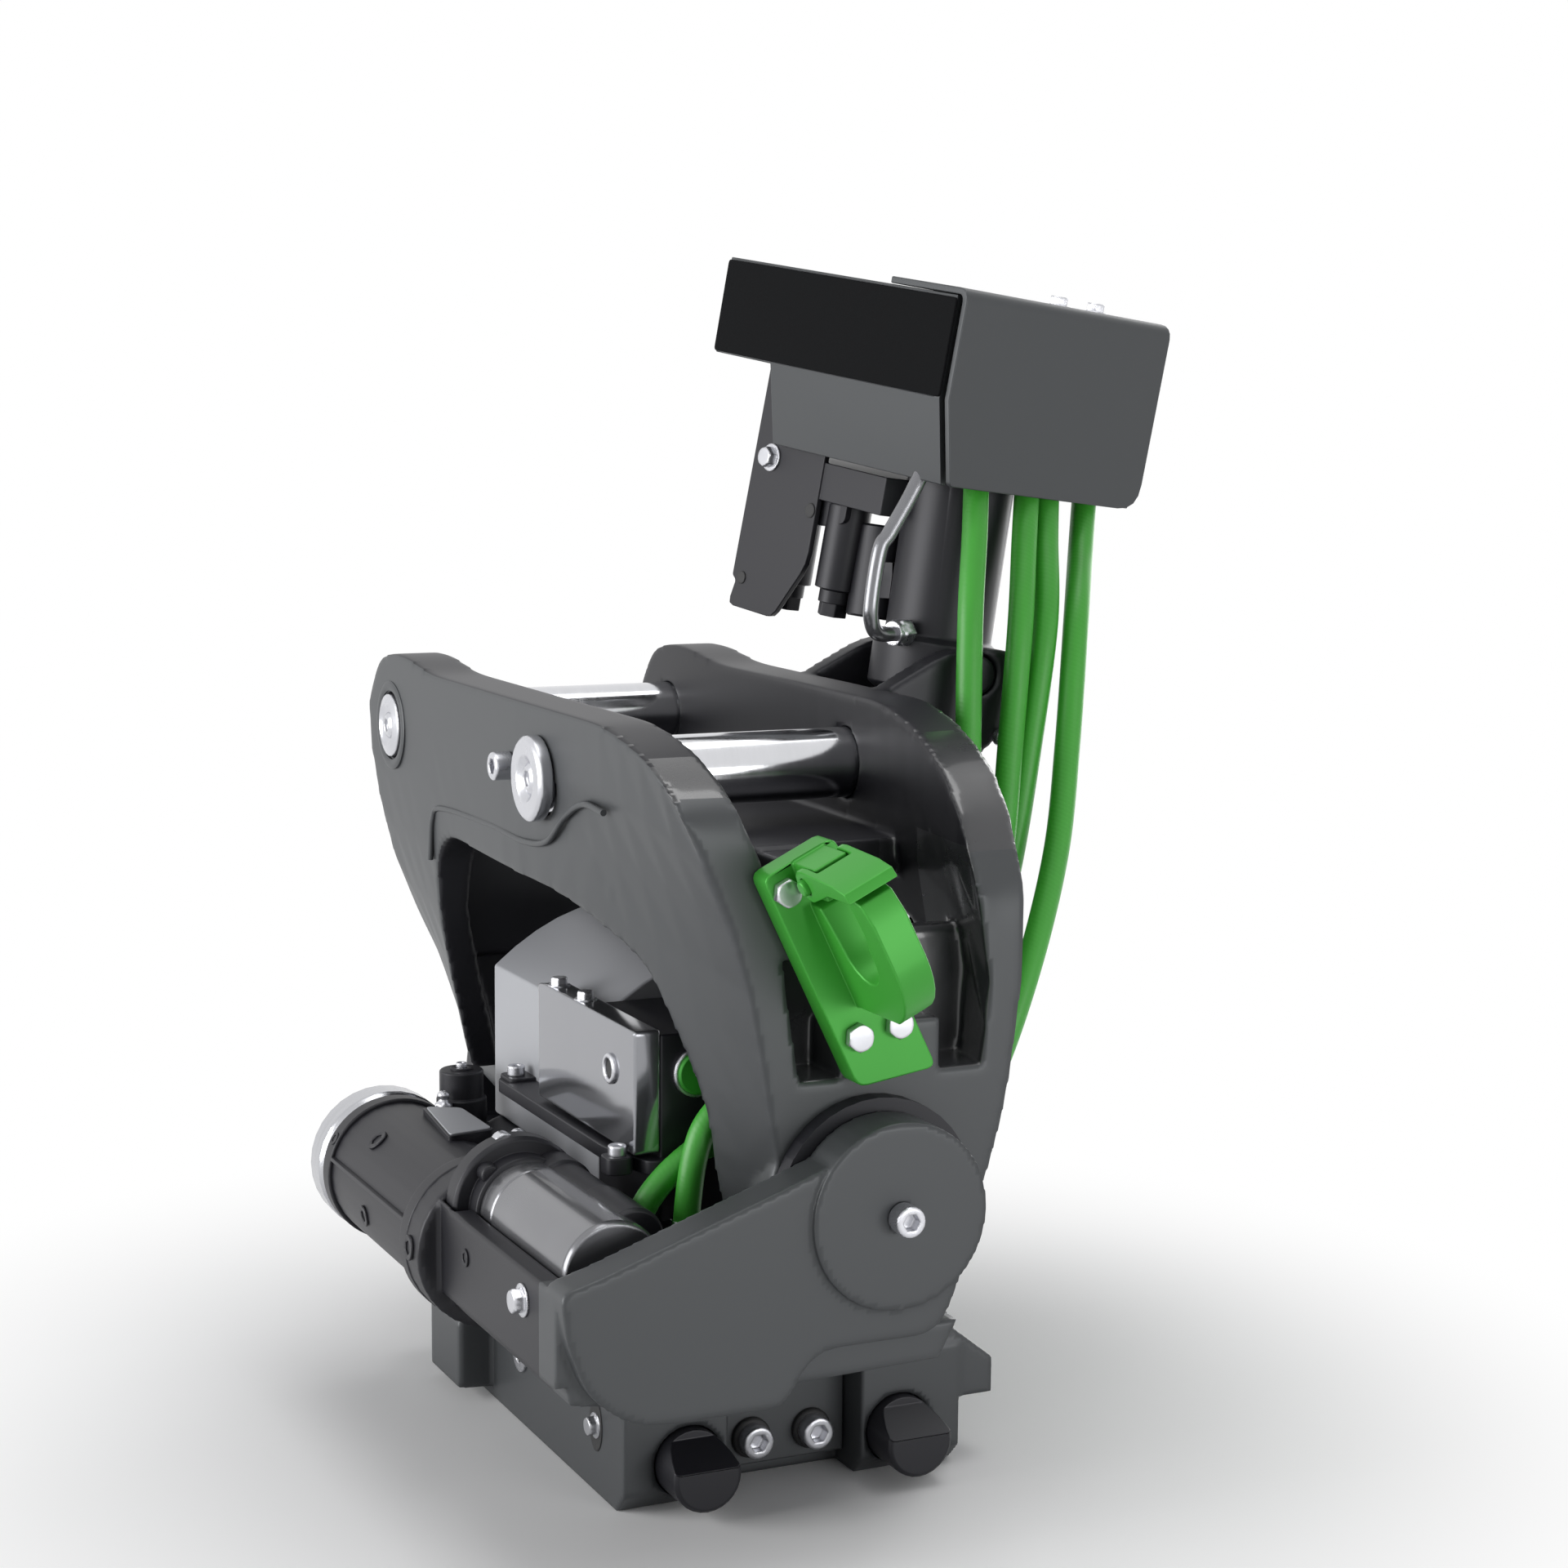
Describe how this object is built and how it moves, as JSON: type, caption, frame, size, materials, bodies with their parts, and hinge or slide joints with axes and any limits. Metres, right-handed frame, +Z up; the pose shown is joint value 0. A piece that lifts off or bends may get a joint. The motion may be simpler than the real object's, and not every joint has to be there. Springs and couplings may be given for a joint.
{
  "type": "excavator tilt rotator",
  "caption": "Hydraulic tilt rotator: pin hitch on top, side tilt cylinder with a head cover, worm rotator in the middle and a coupler with sliding lock pins below.",
  "frame": {"origin": "middle of the coupler's lower face, under the rotor's axis", "axes": "+X along the hitch pins, -Y towards the front with the lifting hook, +Z up along the rotor's axis"},
  "size_m": [0.3684, 0.4381, 0.5023],
  "materials": {
    "charcoal_paint": "semi-gloss charcoal paint on cast and cut steel",
    "black_paint": "semi-gloss black paint",
    "green_paint": "bright green paint",
    "grey_paint": "glossy light grey paint",
    "steel": "machined and zinc-plated steel",
    "chrome": "ground and chromed steel",
    "bronze": "turned bronze",
    "rubber": "black sealing rubber",
    "hose": "bright green outer cover"
  },
  "bodies": {
    "hitch": {"hitch_casting": "charcoal_paint", "front_pin": "chrome", "rear_pin": "chrome", "front_pin_disc": "steel", "rear_pin_disc": "steel", "front_pin_lock_screw": "steel", "front_tilt_bush": "bronze", "rear_tilt_bush": "bronze", "lifting_hook": "green_paint", "hook_bolt_1": "steel", "hook_bolt_2": "steel", "hook_bolt_3": "steel", "supply_hose_1": "hose", "supply_hose_2": "hose", "supply_hose_3": "hose", "supply_hose_4": "hose"},
    "gearbox": {"gearbox_housing": "charcoal_paint", "front_tilt_shaft": "steel", "rear_tilt_shaft": "steel", "front_tilt_bolt": "steel", "rear_tilt_bolt": "steel", "gear_case_ring": "steel", "oil_swivel": "steel", "front_worm_bearing": "steel", "rear_worm_bearing": "steel", "worm_end_cap": "steel", "oil_motor": "black_paint", "valve_block_rear": "grey_paint", "valve_block_front": "black_paint", "valve_side_cover": "grey_paint", "valve_port_plug": "green_paint", "lug_pin": "steel", "motor_hose_upper": "hose", "motor_hose_lower": "hose"},
    "rotor": {"rotor_hub": "charcoal_paint", "worm_wheel": "bronze", "lower_bearing": "steel", "upper_bearing": "steel", "rotor_seal": "rubber", "coupler_frame": "charcoal_paint", "coupler_front_cover": "charcoal_paint", "front_cover_screw_left": "steel", "front_cover_screw_right": "steel", "coupler_bottom_plate": "charcoal_paint", "lock_cylinder_barrel": "steel"},
    "worm_shaft": {"worm": "steel"},
    "lock": {"lock_pin_left": "black_paint", "lock_pin_right": "black_paint", "lock_yoke": "steel"},
    "cylinder": {"tilt_cylinder_barrel": "black_paint", "tilt_cylinder_gland": "steel", "head_cover": "charcoal_paint", "head_cover_front": "charcoal_paint", "hose_bracket_plate": "black_paint", "counterbalance_valve": "black_paint"},
    "piston_rod": {"tilt_cylinder_rod": "chrome", "tilt_piston": "steel", "rod_eye_pin": "steel"},
    "latch": {"hook_latch": "green_paint"}
  },
  "joints": [
    {"name": "tilt", "type": "hinge", "parent": "hitch", "child": "gearbox", "pos_m": [0, 0, 0.138], "axis": [0, -1, 0], "range_deg": [-30, 30], "deforming": ["supply_hose_1", "supply_hose_2", "supply_hose_3", "supply_hose_4"]},
    {"name": "rotor_spin", "type": "hinge", "parent": "gearbox", "child": "rotor", "pos_m": [0, 0, 0.062], "axis": [0, 0, 1], "continuous": true},
    {"name": "worm_spin", "type": "hinge", "parent": "gearbox", "child": "worm_shaft", "pos_m": [-0.11, 0, 0.101], "axis": [0, 1, 0], "continuous": true},
    {"name": "lock_slide", "type": "slide", "parent": "rotor", "child": "lock", "axis": [0, 1, 0], "range_m": [0, 0.022]},
    {"name": "cylinder_swivel", "type": "hinge", "parent": "hitch", "child": "cylinder", "pos_m": [0.124, 0.004, 0.32], "axis": [0, -1, 0], "range_deg": [-9, 3]},
    {"name": "rod_stroke", "type": "slide", "parent": "cylinder", "child": "piston_rod", "axis": [0.1547, 0, 0.988], "range_m": [-0.049, 0.047]},
    {"name": "latch_turn", "type": "hinge", "parent": "hitch", "child": "latch", "pos_m": [-0.03438, -0.2068, 0.26729], "axis": [-0.8988, 0, -0.4384], "range_deg": [0, 55], "stiffness_Nm_per_rad": 0.05, "springref_deg": -22.92}
  ],
  "couplings": [
    {"joint": "worm_spin", "follows": "rotor_spin", "ratio": -44},
    {"joint": "cylinder_swivel", "follows": "tilt", "ratio": -0.08},
    {"joint": "rod_stroke", "follows": "tilt", "m_per_rad": 0.0886}
  ]
}
